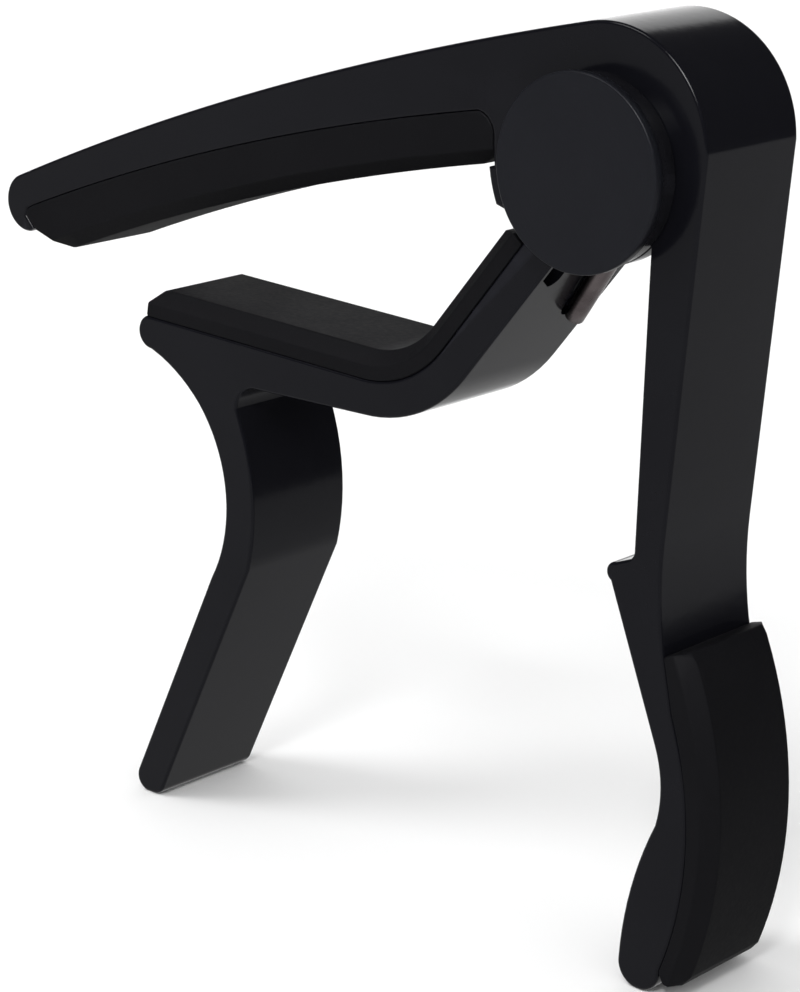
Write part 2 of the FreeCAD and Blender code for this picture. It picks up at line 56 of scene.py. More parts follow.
SLOPE = math.radians(SLOPE_DEGREES)
OUTER, INNER = 2.1, -1.3            # that stretch's faces, from the pin axis
STOP = INNER - 0.3                  # the fork's closed stop, a small gap away
# Radii about the pin axis, then widths along Y.
FORK, CHEEK, SHOULDER, EAR = 7.2, 8.2, 8.6, 5.0
SPRING_HOLLOW, BORE, PIN_ROUND = 6.0, 2.05, 2.0
DISC_ROUND, BOSS_ROUND = 8.46, 8.15
FORK_GAP, TONGUE, SPRING_ROOM = 8.9, 8.3, 6.1
BEND_INNER, BEND_OUTER, PAD_ROUND = 11.7, 15.1, 9.05  # about the bend's centre
PAD_REACH = 10.84                   # neck pad's upper end, down the arm from the pin axis
DOWN = Vector((-math.cos(SLOPE), -math.sin(SLOPE)))
OUT = Vector((math.sin(SLOPE), -math.cos(SLOPE)))

P = {name: Vector(place) for name, place in {
    "bar_top": (-72.26, -11.80), "bar_nose": (-73.95, -14.40), "bar_chin": (-70.70, -17.22),
    "lip_tip": (-70.05, -16.85), "lip_root": (-71.15, -15.70), "lip_inner": (-70.95, -14.95),
    "under_far": (-70.20, -14.55), "under_near": (-13.20, 3.00), "wall_top": (-11.35, 1.10),
    "wall_foot": (-11.20, -1.50), "hub_step": (-11.78, -1.62), "hub_low": (-10.85, -4.77),
    "hub_heel": (-9.95, -5.02), "hub_crown": (-1.51, 12.11), "hub_back": (11.08, 2.60),
    "waist_top": (8.80, -30.80), "waist_low": (9.35, -40.00), "swell_top": (10.62, -45.50),
    "swell_low": (10.75, -69.60), "foot_low": (8.60, -72.00), "foot_in": (6.25, -69.70),
    "knee_low": (9.45, -56.10), "knee_top": (8.95, -48.80), "spur_low": (3.40, -35.20),
    "spur_top": (3.82, -33.45), "spur_root": (5.35, -32.80), "inner_low": (5.75, -32.00),
    "inner_top": (5.94, -5.653),
    "string_pad_heel": (-11.27, -0.45), "string_pad_near": (-13.30, -1.78),
    "string_pad_far": (-65.40, -18.15), "string_pad_toe": (-69.70, -16.90),
    "jaw_top": (-53.90, -22.64), "jaw_nose": (-55.05, -24.20), "jaw_chin": (-53.37, -25.85),
    "throat_top": (-52.00, -26.38), "throat_mid": (-46.80, -30.02), "throat_low": (-44.90, -46.97),
    "trigger_low": (-55.07, -69.95), "trigger_toe": (-53.65, -72.00),
    "trigger_heel": (-52.80, -71.96), "trigger_end": (-51.48, -71.00),
    "trigger_bow": (-39.92, -45.20), "trigger_neck": (-41.70, -29.50),
    "jaw_fillet": (-39.20, -27.05), "jaw_under": (-25.60, -26.60), "jaw_bend": (-25.70, -23.20),
    "neck_pad_toe": (-53.72, -21.30), "neck_pad_far": (-52.40, -20.05),
    "grip_top": (9.48, -40.55), "grip_shoulder": (11.45, -39.95), "grip_start": (12.25, -40.90),
    "grip_low": (13.42, -69.60), "grip_toe": (12.45, -70.75), "grip_heel": (11.25, -70.60),
}.items()}

# Radii of the outlines' arcs.
R = {
    "nose": 2.85, "under": 303.5, "wall": 2.0, "hub_side": 11.87, "spur_fillet": 0.9,
    "spur": 0.93, "knee": 11.7, "shin": 35.7, "foot": 2.2, "swell": 33.8, "waist": 37.3,
    "hub": 10.3, "bar_top": 408.4, "string_pad": 298.2, "jaw": 1.65, "throat_top": 16.3,
    "throat": 14.6, "toe": 1.5, "bow": 23.3, "neck": 2.4, "grip": 39.0,
}
BEND = P["jaw_bend"] + Vector((0.1, BEND_INNER))  # centre of the neck arm's bend


def beside(reach, offset):
    """A point by the neck arm's upper stretch: reach down it, offset outwards."""
    return DOWN * reach + OUT * offset


def reach_at(radius, offset):
    """How far along a line at this offset the circle of this radius is."""
    return math.sqrt(radius**2 - offset**2)


# ---------------------------------------------------------------- outlines

def at(name, curve=None, turn=1):
    """An outline's step: a named point, then the named radius and turn of its edge."""
    return P[name], (R[curve], turn) if curve else None


def cross(first, second):
    return first.x * second.y - first.y * second.x


def anticlockwise(points):
    return sum(cross(a, b) for a, b in zip(points, points[1:] + points[:1])) > 0


def full_turn(count):
    return [2 * math.pi * k / count for k in range(count)]


def arc_points(start, end, radius, turn, step=4.0, longest=1.5):
    """Points on the short arc after start and before end; turn 1 is anticlockwise."""
    chord = end - start
    rise = math.sqrt(max(radius**2 - (chord.length / 2) ** 2, 0.0))
    centre = (start + end) / 2 + Vector((-chord.y, chord.x)).normalized() * turn * rise
    first = math.atan2(start.y - centre.y, start.x - centre.x)
    last = math.atan2(end.y - centre.y, end.x - centre.x)
    sweep = (last - first) * turn % (2 * math.pi)
    count = max(1, math.ceil(math.degrees(sweep) / step), math.ceil(sweep * radius / longest))
    angles = [first + turn * sweep * number / count for number in range(1, count)]
    return [centre + Vector((math.cos(a), math.sin(a))) * radius for a in angles]


def chain(steps):
    """Points along the steps: (point, edge) with None for a straight edge or (radius, turn)."""
    points = []
    for number, (start, edge) in enumerate(steps):
        end = steps[(number + 1) % len(steps)][0]
        points += [start] + (arc_points(start, end, *edge) if edge else [])
    return points


def outline(steps):
    """Anticlockwise points of a closed outline."""
    points = chain(steps)
    return points if anticlockwise(points) else points[::-1]


def inset(points, amount):
    """The closed outline moved inwards."""
    moved = []
    for number, point in enumerate(points):
        before = (point - points[number - 1]).normalized()
        after = (points[(number + 1) % len(points)] - point).normalized()
        inwards = Vector((-before.y - after.y, before.x + after.x))
        moved.append(point + inwards * amount / (1.0 + max(before.dot(after), -0.2)))
    return moved


# ------------------------------------------------------------ mesh helpers

def place(point, y):
    """An outline's point at this Y, as a place in the row frame."""
    return Vector((point.x + PIVOT.x, y, point.y + PIVOT.z)) * MM


def new_object(name, data):
    """A new object in the scene, from a mesh, light or camera."""
    piece = bpy.data.objects.new(name, data)
    bpy.context.scene.collection.objects.link(piece)
    return piece


def loft(name, rings):
    """A closed solid from rings of the same number of points, capped at both ends."""
    bm = bmesh.new()
    made = [[bm.verts.new(p) for p in ring] for ring in rings]
    count = len(made[0])
    for near, far in zip(made, made[1:]):
        for i in range(count):
            j = (i + 1) % count
            bm.faces.new((near[i], far[i], far[j], near[j]))
    bm.faces.new(made[0])
    bm.faces.new(made[-1][::-1])
    bmesh.ops.remove_doubles(bm, verts=bm.verts, dist=1e-7)
    bmesh.ops.recalc_face_normals(bm, faces=bm.faces)
    mesh = bpy.data.meshes.new(name)
    bm.to_mesh(mesh)
    bm.free()
    return new_object(name, mesh)


def slab(name, points, half, edge=0.0, segments=3):
    """The outline as a plate with rounded edges, even to both sides of Y = 0."""
    profile = [(0.0, half)]
    if edge:
        angles = [math.pi / 2 * k / segments for k in range(segments + 1)]
        profile = [(edge * (1 - math.sin(a)), half - edge * (1 - math.cos(a))) for a in angles]
    sides = [(depth, -y) for depth, y in profile] + profile[::-1]
    return loft(name, [[place(p, y) for p in inset(points, depth)] for depth, y in sides])


def disc_outline(radius, count=64):
    return [Vector((math.cos(a), math.sin(a))) * radius for a in full_turn(count)]


def settle(piece):
    """Turn a piece's modifiers into its mesh."""
    depsgraph = bpy.context.evaluated_depsgraph_get()
    mesh = bpy.data.meshes.new_from_object(piece.evaluated_get(depsgraph))
    piece.modifiers.clear()
    piece.data = mesh


def combine(piece, other, operation):
    """Cut other out of piece, or join it on, and remove other."""
    modifier = piece.modifiers.new("combine", "BOOLEAN")
    modifier.object = other
    modifier.operation = operation
    modifier.solver = "EXACT"
    settle(piece)
    bpy.data.objects.remove(other)


def finish_mesh(piece, material, sharp=ARM_CREASE):
    """Smooth faces with true edges, flat faces kept flat."""
    mesh = piece.data
    mesh.shade_smooth()
    mesh.set_sharp_from_angle(angle=math.radians(sharp))
    mesh.materials.clear()
    mesh.materials.append(material)
    modifier = piece.modifiers.new("normals", "WEIGHTED_NORMAL")
    modifier.keep_sharp = True
    modifier.weight = 80
    return piece


# --------------------------------------------------------------- materials

def add_node(tree, kind, inputs=(), **values):
    """A new node with these settings; an input given as a socket is linked to it."""
    node = tree.nodes.new(kind)
    for key, value in values.items():
        setattr(node, key, value)
    for key, value in dict(inputs).items():
        if isinstance(value, bpy.types.NodeSocket):
            tree.links.new(value, node.inputs[key])
        else:
            node.inputs[key].default_value = value
    return node


def mapped(value, start, end, low, high):
    """Inputs of a Map Range node."""
    return {
        "Value": value, "From Min": start, "From Max": end, "To Min": low, "To Max": high,
    }


class Nodes:
    """A short way to add linked nodes to a material."""

    def __init__(self, name):
        self.material = bpy.data.materials.new(name)
        self.material.use_nodes = True
        self.tree = self.material.node_tree
        self.shader = self.tree.nodes["Principled BSDF"]
        self.where = self.add("ShaderNodeTexCoord").outputs["Object"]

    def add(self, kind, inputs=(), **values):
        return add_node(self.tree, kind, inputs, **values)

    def noise(self, scale, detail, stretch=(1, 1, 1)):
        spread = self.add("ShaderNodeMapping", {"Vector": self.where, "Scale": stretch})
        inputs = {
            "Vector": spread.outputs[0], "Scale": scale, "Detail": detail, "Roughness": 0.55,
        }
        return self.add("ShaderNodeTexNoise", inputs).outputs["Fac"]

    def span(self, value, low, high, start=0.3, end=0.7):
        """The value's range from start to end, spread over low to high."""
        inputs = mapped(value, start, end, low, high)
        return self.add("ShaderNodeMapRange", inputs).outputs[0]

    def blend(self, factor, first, second):
        node = self.add("ShaderNodeMix", data_type="RGBA")
        self.tree.links.new(factor, node.inputs["Factor"])
        for socket, value in ((node.inputs[6], first), (node.inputs[7], second)):
            if isinstance(value, bpy.types.NodeSocket):
                self.tree.links.new(value, socket)
            else:
                socket.default_value = (*value, 1.0)
        return node.outputs[2]

    def plus(self, first, second, operation="ADD"):
        return self.add("ShaderNodeMath", {0: first, 1: second}, operation=operation).outputs[0]

    def bump(self, height, distance, strength=1.0, below=None):
        inputs = {"Height": height, "Distance": distance, "Strength": strength}
        if below is not None:
            inputs["Normal"] = below
        return self.add("ShaderNodeBump", inputs).outputs[0]

    def set(self, **values):
        for key, value in values.items():
            socket = self.shader.inputs[key.replace("_", " ")]
            if isinstance(value, bpy.types.NodeSocket):
                self.tree.links.new(value, socket)
            else:
                socket.default_value = value
        return self.material


def coated(name, dark, light, rough, specular):
    """Satin black coat on metal: faint mottling, fine orange peel, worn corners."""
    n = Nodes(name)
    cloud = n.noise(90.0, 3.0)
    speck = n.noise(1400.0, 2.0)
    colour = n.blend(n.span(cloud, 0.0, 1.0), dark, light)
    corner = n.add("ShaderNodeNewGeometry").outputs["Pointiness"]
    worn = n.span(corner, 0.0, 0.35, 0.53, 0.62)
    patchy = n.plus(worn, n.span(n.noise(420.0, 5.0), 0.2, 1.0), "MULTIPLY")
    colour = n.blend(patchy, colour, tuple(4.0 * c for c in light))
    roughness = n.plus(n.span(cloud, rough - 0.03, rough + 0.03), n.span(speck, -0.02, 0.02))
    peel = n.bump(n.noise(700.0, 2.0), distance=0.00001, strength=0.5)
    fine = n.bump(speck, distance=0.000006, strength=0.5, below=peel)
    return n.set(
        Base_Color=colour, Roughness=roughness, Normal=fine, Metallic=0.0,
        Specular_IOR_Level=specular,
    )


def rubber(name, dark, light):
    """Moulded rubber: matte, finely grained, with faint dusty patches."""
    n = Nodes(name)
    cloud = n.noise(60.0, 5.0)
    grain = n.noise(2200.0, 3.0)
    colour = n.blend(n.span(cloud, 0.0, 1.0), dark, light)
    dusty = n.blend(n.span(grain, 0.0, 0.35, 0.5, 0.75), colour, tuple(1.6 * c for c in light))
    roughness = n.plus(n.span(cloud, 0.62, 0.74), n.span(grain, -0.04, 0.04))
    skin = n.bump(n.noise(260.0, 3.0), distance=0.00006, strength=0.35)
    fine = n.bump(grain, distance=0.00003, strength=0.6, below=skin)
    return n.set(
        Base_Color=dusty, Roughness=roughness, Normal=fine, Specular_IOR_Level=0.1,
    )


def turned_cap(name, dark, light, rough):
    """Satin black disc with the faint rings that facing leaves."""
    n = Nodes(name)
    to_axis = (-PIVOT.x * MM, 0, -PIVOT.z * MM)
    shift = n.add("ShaderNodeMapping", {"Vector": n.where, "Location": to_axis})
    waves = n.add(
        "ShaderNodeTexWave",
        {"Vector": shift.outputs[0], "Scale": 900.0, "Distortion": 1.2, "Detail": 2.0},
        wave_type="RINGS", rings_direction="Y",
    ).outputs["Fac"]
    cloud = n.noise(110.0, 4.0)
    speck = n.noise(1600.0, 2.0)
    colour = n.blend(n.span(cloud, 0.0, 1.0), dark, light)
    ringed = n.span(waves, -0.015, 0.015, 0, 1)
    roughness = n.plus(n.span(cloud, rough - 0.03, rough + 0.03), ringed)
    rings = n.bump(waves, distance=0.000004, strength=0.5)
    fine = n.bump(speck, distance=0.00002, strength=0.5, below=rings)
    return n.set(Base_Color=colour, Roughness=roughness, Normal=fine, Specular_IOR_Level=0.12)


def steel(name, dark, light, rough):
    """Drawn spring wire: grey-brown, streaked along its length."""
    n = Nodes(name)
    streak = n.noise(500.0, 4.0, (1.0, 6.0, 1.0))
    cloud = n.noise(200.0, 3.0)
    colour = n.blend(n.span(cloud, 0.0, 1.0), dark, light)
    roughness = n.plus(n.span(streak, rough - 0.06, rough + 0.06), n.span(cloud, -0.04, 0.04))
    fine = n.bump(streak, distance=0.00002, strength=0.5)
    return n.set(Base_Color=colour, Roughness=roughness, Normal=fine, Metallic=1.0)


COAT = coated("satin_black_coat", (0.0040, 0.0040, 0.0057), (0.0050, 0.0051, 0.0070), 0.14, 0.15)
CAP = turned_cap("satin_black_disc", (0.0078, 0.0082, 0.0108), (0.0090, 0.0094, 0.0124), 0.36)
BOSS = coated("boss_black_coat", (0.004, 0.004, 0.0052), (0.0055, 0.0055, 0.0068), 0.2, 0.13)
RUBBER = rubber("moulded_rubber", (0.0028, 0.0028, 0.0038), (0.0042, 0.0041, 0.0052))
WIRE = steel("spring_wire", (0.11, 0.092, 0.094), (0.24, 0.208, 0.208), 0.3)
PIN = steel("pin_steel", (0.30, 0.30, 0.31), (0.45, 0.45, 0.46), 0.32)


# ------------------------------------------------------------------ pieces

def show(piece, body, slot, *nodes):
    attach(piece, body)
    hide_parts(*nodes)


def build_string_arm():
    """Bar over the strings, forked hub and long handle."""
    stop_low = beside(reach_at(CHEEK, STOP), STOP)
    points = outline([
        at("bar_top", "nose"), at("bar_nose", "nose"), at("bar_chin"),
        at("lip_tip"), at("lip_root"), at("lip_inner"),
        at("under_far", "under", -1), at("under_near", "wall", -1), at("wall_top"),
        at("wall_foot"), at("hub_step", "hub_side"), at("hub_low"),
        at("hub_heel"), (stop_low, (CHEEK, 1)), at("inner_top"),
        at("inner_low", "spur_fillet", -1), at("spur_root"), at("spur_top", "spur"),
        at("spur_low"), at("knee_top", "knee", -1), at("knee_low", "shin"),
        at("foot_in", "foot"), at("foot_low", "foot"), at("swell_low", "swell"),
        at("swell_top"), at("waist_low", "waist", -1), at("waist_top"),
        at("hub_back", "hub"), at("hub_crown", "bar_top"),
    ])
    arm = slab("string_arm_body", points, HALF, EDGE)
    inner = P["inner_top"].x
    fork = outline([
        (beside(reach_at(FORK, STOP), STOP), None), (beside(14, STOP), None),
        (Vector((inner, -15)), None), (Vector((inner, -reach_at(FORK, inner))), (FORK, 1)),
        (Vector((0, FORK)), (FORK, 1)),
    ])
    combine(arm, slab("fork_cutter", fork, FORK_GAP / 2), "DIFFERENCE")
    combine(arm, slab("bore_cutter", disc_outline(BORE), 2 * HALF), "DIFFERENCE")
    finish_mesh(arm, COAT)
    show(arm, "string_arm", "arm_black", "string_arm")


def on_outer_face(points, low, high):
    """Rings of a prism on the neck arm's outer face: x down the arm, y across it."""
    return [[place(beside(p.x, OUTER + lift), p.y) for p in points] for lift in (low, high)]


def build_neck_arm():
    """Jaw under the neck, the bend up to the pin, and the trigger."""
    points = outline([
        at("jaw_top", "jaw"), at("jaw_nose", "jaw"), at("jaw_chin"),
        at("throat_top", "throat_top", -1), at("throat_mid", "throat", -1), at("throat_low"),
        at("trigger_low", "toe"), at("trigger_toe"), at("trigger_heel", "toe"),
        at("trigger_end"), at("trigger_bow", "bow"), at("trigger_neck", "neck", -1),
        at("jaw_fillet"), (P["jaw_under"], (BEND_OUTER, 1)),
        (BEND + OUT * BEND_OUTER, None),
        (beside(reach_at(SHOULDER, OUTER), OUTER), (SHOULDER, -1)),
        (beside(reach_at(SHOULDER, INNER), INNER), None),
        (BEND + OUT * BEND_INNER, (BEND_INNER, -1)), at("jaw_bend"),
    ])
    arm = slab("neck_arm_body", points, HALF, EDGE)
    # The tongue reaches into the arm, and its faces lie a hair inside the arm's.
    root, outer, inner = SHOULDER + 2, OUTER - 0.001, INNER + 0.001
    tongue = outline([
        (beside(root, outer), None),
        (beside(reach_at(EAR, outer), outer), (EAR, 1)),
        (beside(-EAR, 0), (EAR, 1)),
        (beside(reach_at(EAR, inner), inner), None),
        (beside(root, inner), None),
    ])
    combine(arm, slab("tongue_add", tongue, TONGUE / 2, TONGUE_EDGE, 2), "UNION")
    room = slab("room_cutter", disc_outline(SPRING_HOLLOW), SPRING_ROOM / 2)
    combine(arm, room, "DIFFERENCE")
    combine(arm, slab("neck_bore_cutter", disc_outline(BORE), 2 * HALF), "DIFFERENCE")
    combine(arm, groove_cutter(), "DIFFERENCE")
    combine(arm, relief_cutter(), "DIFFERENCE")
    finish_mesh(arm, COAT)
    show(arm, "neck_arm", "arm_black", "neck_arm")


GROOVE_SLANT = math.radians(14.0)
COIL_ROUND, COIL_PITCH, WIRE_ROUND = 3.2, 2.0, 0.95
COIL_FIRST, COIL_LAST = SLOPE_DEGREES - 90.0, 240.0
COIL_TURNS = 1.0 + (COIL_LAST - COIL_FIRST) / 360.0
COIL_TRAVEL = COIL_TURNS * COIL_PITCH
LEG_END, LEG_LIFT, STRING_LEG = 17.9, 0.7, 6.6
COIL_STEPS, LEG_STEPS, STRING_STEPS = 90, 12, 6
GROOVE_DEPTH, RELIEF_DEPTH, CUT_ABOVE = 0.7, 1.6, 2.0


def leg_side(reach):
    """Where the spring's leg is across the arm, at this reach down it."""
    return -COIL_TRAVEL / 2 + reach * math.tan(GROOVE_SLANT)


def groove_cutter():
    """Slot with a round end that the spring's leg lies in."""
    half, start, end = 1.25, 4.0, 18.3
    heading = Vector((math.cos(GROOVE_SLANT), math.sin(GROOVE_SLANT)))
    side = Vector((-heading.y, heading.x)) * half
    near = Vector((start, leg_side(start)))
    far = Vector((end, leg_side(end))) - heading * half
    bow = [
        far + heading * half * math.cos(a) + side * math.sin(a)
        for a in (math.radians(d) for d in range(-90, 91, 10))
    ]
    points = [near - side, *bow, near + side]
    return loft("groove_cutter", on_outer_face(points, -GROOVE_DEPTH, CUT_ABOVE))


def relief_cutter():
    """Short milled relief with rounded corners, between the groove and the front edge."""
    near, far, side, inner = 9.2, 13.0, -5.8, -3.3
    width = inner - side
    corner, slant = width * 0.4, width * 0.45
    turn = [
        Vector((far - corner, inner - corner)) + Vector((math.cos(a), math.sin(a))) * corner
        for a in (math.radians(d) for d in range(0, 91, 15))
    ]
    points = [Vector((near, side)), Vector((far - slant, side)), *turn, Vector((near, inner))]
    return loft("relief_cutter", on_outer_face(points, -RELIEF_DEPTH, CUT_ABOVE))


def trimmed(points, run, depth):
    """The outline with its run of free points moved inwards, trimmed by its other edges."""
    line = []
    for number in run:
        before = points[max(number - 1, run[0])]
        after = points[min(number + 1, run[-1])]
        heading = (after - before).normalized()
        line.append(points[number] + Vector((-heading.y, heading.x)) * depth)
    ring = list(points)
    for end, step in ((0, -1), (-1, 1)):
        heading = line[1] - line[0] if end == 0 else line[-1] - line[-2]
        number, passed = run[end], []
        while True:
            passed.append(number)
            start, stop = points[number], points[(number + step) % len(points)]
            share = cross(line[end] - start, heading) / cross(stop - start, heading)
            if 0.0 <= share <= 1.0:
                break
            number = (number + step) % len(points)
        line[end] = start.lerp(stop, share)
        for number in passed:
            ring[number] = line[end]
    for number, point in zip(run, line):
        ring[number] = point
    return ring


def rounded_corner(before, corner, after, count=3):
    """Points along a soft corner, from before to after."""
    return [
        before * (1 - t) ** 2 + corner * 2 * t * (1 - t) + after * t**2
        for t in (k / count for k in range(count + 1))
    ]


def pad_points(steps, first, last):
    """Anticlockwise outline with softened corners, and the numbers of its free points."""
    points, free = [], []
    for number, (start, edge) in enumerate(steps):
        end = steps[(number + 1) % len(steps)][0]
        between = arc_points(start, end, *edge) if edge else []
        points += [start] + between
        free += [first <= number <= last + 1] + [first <= number <= last] * len(between)
    if not anticlockwise(points):
        points, free = points[::-1], free[::-1]
    soft, run = [], []
    for number, point in enumerate(points):
        sides = [(number - 1) % len(points), (number + 1) % len(points)]
        ways = [points[side] - point for side in sides]
        if ways[0].angle(-ways[1]) < SHARP_TURN:
            if free[number]:
                run.append(len(soft))
            soft.append(point)
            continue
        for side, way in zip(sides, ways):
            if free[number] and free[side]:
                run.append(len(soft))
            soft.append(point + way.normalized() * min(PAD_SOFT, way.length * 0.3))
    return soft, run


def moulded(name, steps, first, last):
    """A rubber pad; the edges of its steps first to last are free, and bevelled at both sides."""
    points, run = pad_points(steps, first, last)
    slant = PAD_SOFT * math.sqrt(0.5)
    low, high = Vector((0.0, HALF - PAD_BEVEL)), Vector((PAD_BEVEL, HALF))
    profile = rounded_corner(low - Vector((0, PAD_SOFT)), low, low + Vector((slant, slant)))
    profile += rounded_corner(high - Vector((slant, slant)), high, high + Vector((PAD_SOFT, 0)))
    rings = []
    for depth, y in profile:
        rise = max(y - (HALF - PAD_SOFT), 0.0)
        rim = PAD_SOFT - math.sqrt(PAD_SOFT**2 - min(rise, PAD_SOFT) ** 2)
        ring = inset(points, rim)
        rings.append((trimmed(ring, run, depth - rim) if depth > rim + 1e-6 else ring, y))
    faces = [[place(p, -y) for p in ring] for ring, y in reversed(rings)]
    faces += [[place(p, y) for p in ring] for ring, y in rings]
    return finish_mesh(loft(name, faces), RUBBER, ROUND_CREASE)


def build_string_pad():
    steps = [
        at("under_far", "under", -1), at("under_near", "wall", -1), at("wall_top"),
        at("string_pad_heel"), at("string_pad_near", "string_pad"), at("string_pad_far"),
        at("string_pad_toe"), at("lip_root"), at("lip_inner"),
    ]
    pad = moulded("string_pad_rubber", steps, 4, 4)
    show(pad, "string_arm", "rubber_black", "string_pad")


def build_neck_pad():
    thick = BEND_INNER - PAD_ROUND
    steps = [
        at("jaw_top"), (P["jaw_bend"], (BEND_INNER, 1)),
        (BEND + OUT * BEND_INNER, None), (beside(PAD_REACH, INNER), None),
        (beside(PAD_REACH, INNER - thick / 2), None),
        (beside(PAD_REACH + thick / 2, INNER - thick), None),
        (BEND + OUT * PAD_ROUND, (PAD_ROUND, -1)),
        (Vector((P["jaw_bend"].x, BEND.y - PAD_ROUND)), None),
        at("neck_pad_far"), at("neck_pad_toe"),
    ]
    pad = moulded("neck_pad_rubber", steps, 5, 7)
    show(pad, "neck_arm", "rubber_black", "neck_pad")


def build_grip_pad():
    steps = [
        at("grip_top"), at("swell_top", "swell", -1), at("swell_low"),
        at("grip_heel"), at("grip_toe"), at("grip_low", "grip"),
        at("grip_start"), at("grip_shoulder"),
    ]
    pad = moulded("grip_pad_rubber", steps, 5, 5)
    show(pad, "string_arm", "rubber_black", "grip_pad")


def lathe(name, profile, material, count=96):
    """A turned piece round the pin axis: (y, radius) points, from one end to the other."""
    rings = [[place(p, y) for p in disc_outline(radius, count)] for y, radius in profile]
    return finish_mesh(loft(name, rings), material, ROUND_CREASE)


def build_turned():
    """Bosses and discs at both ends of the pin."""
    seat, face, edge, nick = 8.38, 9.38, 0.18, 0.1
    level = 7.4     # a ring on the disc's face that keeps its shading flat
    rim = [
        (face - edge * (1 - math.sin(a)), DISC_ROUND - edge * (1 - math.cos(a)))
        for a in (math.radians(d) for d in (0, 30, 60, 90))
    ]
    disc_profile = [
        (seat, PIN_ROUND), (seat, DISC_ROUND - nick), (seat + nick, DISC_ROUND), *rim,
        (face, level),
    ]
    boss_profile = [
        (HALF, PIN_ROUND), (HALF, BOSS_ROUND - nick), (HALF + nick, BOSS_ROUND),
        (seat, BOSS_ROUND), (seat, PIN_ROUND),
    ]
    for word, side in (("front", -1), ("back", 1)):
        cap = lathe(f"{word}_disc", [(side * y, r) for y, r in disc_profile], CAP)
        show(cap, "string_arm", "cap_black", f"{word}_cap")
        boss = lathe(f"{word}_boss", [(side * y, r) for y, r in boss_profile], BOSS)
        show(boss, "string_arm", "spacer_black", f"{word}_spacer")


def tube(name, path, radius, count=20):
    """Round wire along a path in the row frame, with softened ends."""
    headings = [
        (path[min(i + 1, len(path) - 1)] - path[max(i - 1, 0)]).normalized()
        for i in range(len(path))
    ]
    side = headings[0].orthogonal().normalized()
    soft = 0.2      # how far the ends taper, as a part of the radius
    rings = []
    for number, (point, heading) in enumerate(zip(path, headings)):
        side = (side - heading * side.dot(heading)).normalized()
        other = heading.cross(side)
        ring = [side * math.cos(a) + other * math.sin(a) for a in full_turn(count)]
        if number == 0:
            rings.append([point + r * radius * (1 - soft) for r in ring])
            point = point + heading * radius * soft
        if number == len(path) - 1:
            rings.append([point - heading * radius * soft + r * radius for r in ring])
            rings.append([point + r * radius * (1 - soft) for r in ring])
            continue
        rings.append([point + r * radius for r in ring])
    return finish_mesh(loft(name, rings), WIRE, ROUND_CREASE)


def build_spring():
    """Torsion spring: its neck leg rides on the neck arm, its coil lies between the arms and stays
    where it is built.
    """
    radius = WIRE_ROUND * MM
    coil = []
    for number in range(COIL_STEPS + 1):
        share = number / COIL_STEPS
        a = math.radians(COIL_FIRST + share * COIL_TURNS * 360.0)
        round_point = Vector((math.cos(a), math.sin(a))) * COIL_ROUND
        coil.append(place(round_point, (share - 0.5) * COIL_TRAVEL))
    tip = place(beside(LEG_END, OUTER + LEG_LIFT), leg_side(LEG_END))
    neck_leg = [tip.lerp(coil[0], k / LEG_STEPS) for k in range(LEG_STEPS + 1)]
    leg = tube("spring_neck_leg", neck_leg, radius)
    show(leg, "neck_arm", "spring_steel", "torsion_spring")
    a = math.radians(COIL_LAST)
    heading = Vector((-math.sin(a), 0, math.cos(a))) * MM
    string_leg = [
        coil[-1] + heading * STRING_LEG * k / STRING_STEPS for k in range(1, STRING_STEPS + 1)
    ]
    wound = tube("spring_coil", coil + string_leg, radius)
    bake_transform(wound)
    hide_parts("torsion_spring")


build_string_arm()
build_neck_arm()
build_string_pad()
build_neck_pad()
build_grip_pad()
build_turned()
build_spring()
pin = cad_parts["pivot_pin"]
pin.data.materials.clear()
pin.data.materials.append(PIN)


# ------------------------------------------------- floor, light and camera

FILL, BACKDROP = 0.85, 1.1          # brightness for diffuse rays and for the camera
# What the gloss mirrors. A pair is where a part of the direction fades, from and to.
ROOM, BAND = 0.06, 1.4              # brightness of the dark room and of the band in it
BAND_BEHIND, BAND_LEFT = (0.2, 0.8), (-0.45, -0.2)  # along Y and X
BAND_FOOT, BAND_TOP = (-0.7, -0.2), (0.44, 0.54)    # along Z
TABLE, TABLE_END, TABLE_FADE = 0.55, -0.187, 0.012  # white table, and where it ends in Z
FRONT, FRONT_RISE = (-0.5, 0.0), 0.14  # along Y, and how much higher the table ends there
BOX, BOX_WIDE, BOX_CORE = 12.0, math.radians(20.0), 0.7  # soft box over the camera
BOX_WAY = (0.351, -0.62, 0.70)

EYE, AIM = Vector((183.16, -204.19, 122.42)), Vector((2.80, 0.0, 36.14))
CAMERA_UP = Vector((-0.0344, 0.0, 0.9994))
LENS, SENSOR = 111.3, 36.0


def build_floor():
    n = Nodes("studio_floor")
    tone = n.span(n.noise(3.0, 2.0), 0.0, 1.0)
    n.set(Base_Color=n.blend(tone, (0.93, 0.93, 0.93), (0.95, 0.95, 0.95)), Roughness=0.9,
          Specular_IOR_Level=0.1)
    bpy.ops.mesh.primitive_plane_add(size=12.0, location=(0, 0, -0.00002))
    floor = bpy.context.object
    floor.visible_glossy = False    # the gloss mirrors the world's own table instead
    floor.name = "studio_floor"
    floor.data.materials.append(n.material)


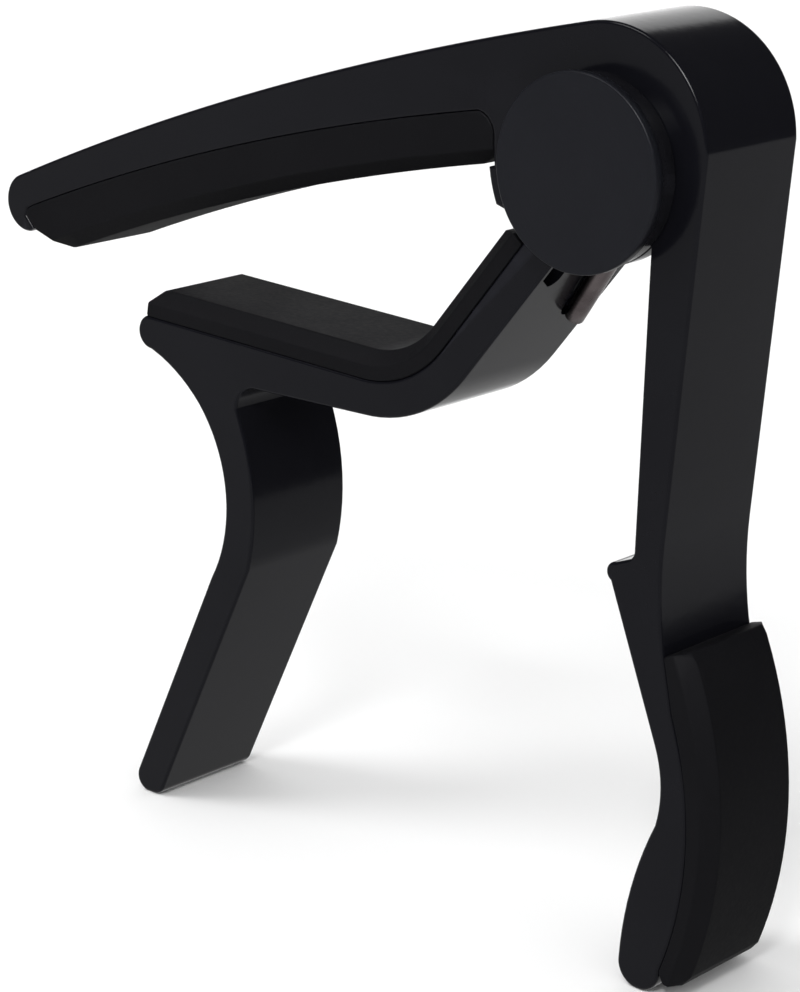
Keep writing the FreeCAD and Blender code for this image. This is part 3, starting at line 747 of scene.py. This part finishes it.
def build_world():
    """Even white fill; mirrored in the gloss, a dark room, a white table and two bright panels."""
    world = bpy.data.worlds.new("studio")
    world.use_nodes = True
    tree = world.node_tree
    tree.nodes.clear()

    def add(kind, inputs=(), **values):
        return add_node(tree, kind, inputs, **values)

    def maths(operation, first, second):
        return add("ShaderNodeMath", {0: first, 1: second}, operation=operation).outputs[0]

    def ramp(value, ends, low, high):
        inputs = mapped(value, *ends, low, high)
        return add("ShaderNodeMapRange", inputs, interpolation_type="SMOOTHSTEP").outputs[0]

    def glow(strength):
        inputs = {"Color": (1, 1, 1, 1), "Strength": strength}
        return add("ShaderNodeBackground", inputs).outputs[0]

    def mix(ray, other, chosen):
        """The chosen shader for rays of this kind, and the other for the rest."""
        kind = add("ShaderNodeLightPath").outputs[ray]
        return add("ShaderNodeMixShader", {0: kind, 1: other, 2: chosen}).outputs[0]

    coordinate = add("ShaderNodeTexCoord").outputs["Generated"]
    way = add("ShaderNodeSeparateXYZ", {0: coordinate}).outputs
    behind = ramp(way["Y"], BAND_BEHIND, 0.0, 1.0)
    low = ramp(way["Z"], BAND_TOP, 1.0, 0.0)
    left = ramp(way["X"], BAND_LEFT, 1.0, 0.0)
    above = ramp(way["Z"], BAND_FOOT, 0.0, 1.0)
    corner = maths("MULTIPLY", behind, maths("MULTIPLY", above, left))
    room = ramp(maths("MULTIPLY", corner, low), (0.0, 1.0), ROOM, BAND)

    near = add("ShaderNodeVectorMath", {0: coordinate, 1: BOX_WAY}, operation="DOT_PRODUCT")
    box_ends = math.cos(BOX_WIDE), math.cos(BOX_WIDE * BOX_CORE)
    room = maths("ADD", room, ramp(near.outputs["Value"], box_ends, 0.0, BOX))

    level = maths("SUBTRACT", way["Z"], ramp(way["Y"], FRONT, FRONT_RISE, 0.0))
    table_ends = TABLE_END - TABLE_FADE, TABLE_END + TABLE_FADE
    room = maths("MAXIMUM", room, ramp(level, table_ends, TABLE, 0.0))

    unseen = mix("Is Glossy Ray", glow(FILL), glow(room))
    shown = mix("Is Camera Ray", unseen, glow(BACKDROP))
    add("ShaderNodeOutputWorld", {"Surface": shown})
    bpy.context.scene.world = world


def soft_light(name, place_at, aim, width, height, power):
    light = bpy.data.lights.new(name, "AREA")
    light.shape = "RECTANGLE"
    light.size, light.size_y = width, height
    light.energy = power
    lamp = new_object(name, light)
    lamp.location = place_at
    lamp.rotation_euler = (Vector(aim) - Vector(place_at)).to_track_quat("-Z", "Y").to_euler()


def soft_sun(name, place_at, spread, strength):
    """Distant light with a wide disc, so that the floor is lit evenly."""
    light = bpy.data.lights.new(name, "SUN")
    light.energy = strength
    light.angle = math.radians(spread)
    lamp = new_object(name, light)
    lamp.rotation_euler = Vector(place_at).to_track_quat("Z", "Y").to_euler()


def build_camera():
    """Camera at the photographed angle: a little above, from the front right."""
    eye, aim = EYE * MM, AIM * MM
    back = (eye - aim).normalized()
    right = CAMERA_UP.cross(back).normalized()
    up = back.cross(right)
    camera = new_object("camera", bpy.data.cameras.new("camera"))
    turn = Matrix((right, up, back)).transposed().to_4x4()
    camera.matrix_world = Matrix.Translation(eye) @ turn
    camera.data.sensor_width = SENSOR
    camera.data.lens = LENS
    camera.data.clip_start = 0.01
    bpy.context.scene.camera = camera


build_floor()
build_world()
soft_sun("key", (-0.40, -0.50, 0.75), 26.0, 1.0)
soft_light("edge_light", (0.26, -0.46, 0.52), (0, 0, 0.05), 0.12, 0.12, 1.2)
build_camera()
bpy.context.scene.view_settings.view_transform = "Standard"
